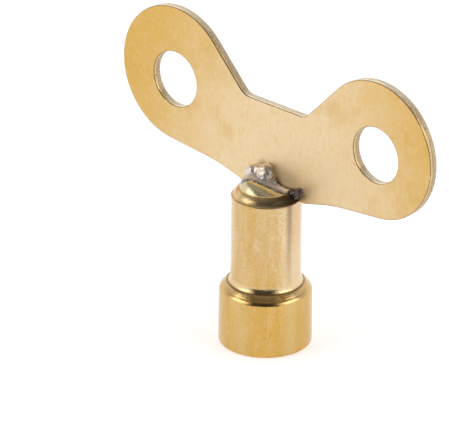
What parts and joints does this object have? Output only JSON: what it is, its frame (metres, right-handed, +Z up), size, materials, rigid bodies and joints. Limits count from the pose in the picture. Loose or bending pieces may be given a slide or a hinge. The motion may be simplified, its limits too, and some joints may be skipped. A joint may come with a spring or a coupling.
{
  "type": "radiator bleed key",
  "caption": "Butterfly-handled radiator bleed key: a flat wing plate with finger holes, lap-jointed to a stepped round barrel with a square socket in its foot.",
  "frame": {"origin": "on the barrel's axis at the socket mouth, the bottom of the key", "axes": "+Z up the barrel towards the wing plate, +X along the wings, the wing plate stands on the +Y side of the axis"},
  "size_m": [0.044, 0.01, 0.0338],
  "materials": {
    "barrel_brass": "bright turned brass, lightly tumbled",
    "wing_brass": "satin brass-coloured strip with sheared edges",
    "filler_metal": "bright silver-grey filler, frozen smooth",
    "sooty_filler": "rough grey filler, dulled by the flame"
  },
  "bodies": {
    "root": {"socket_barrel": "barrel_brass", "wing_plate": "wing_brass", "bead_top": "filler_metal", "bead_side": "sooty_filler"}
  },
  "joints": []
}
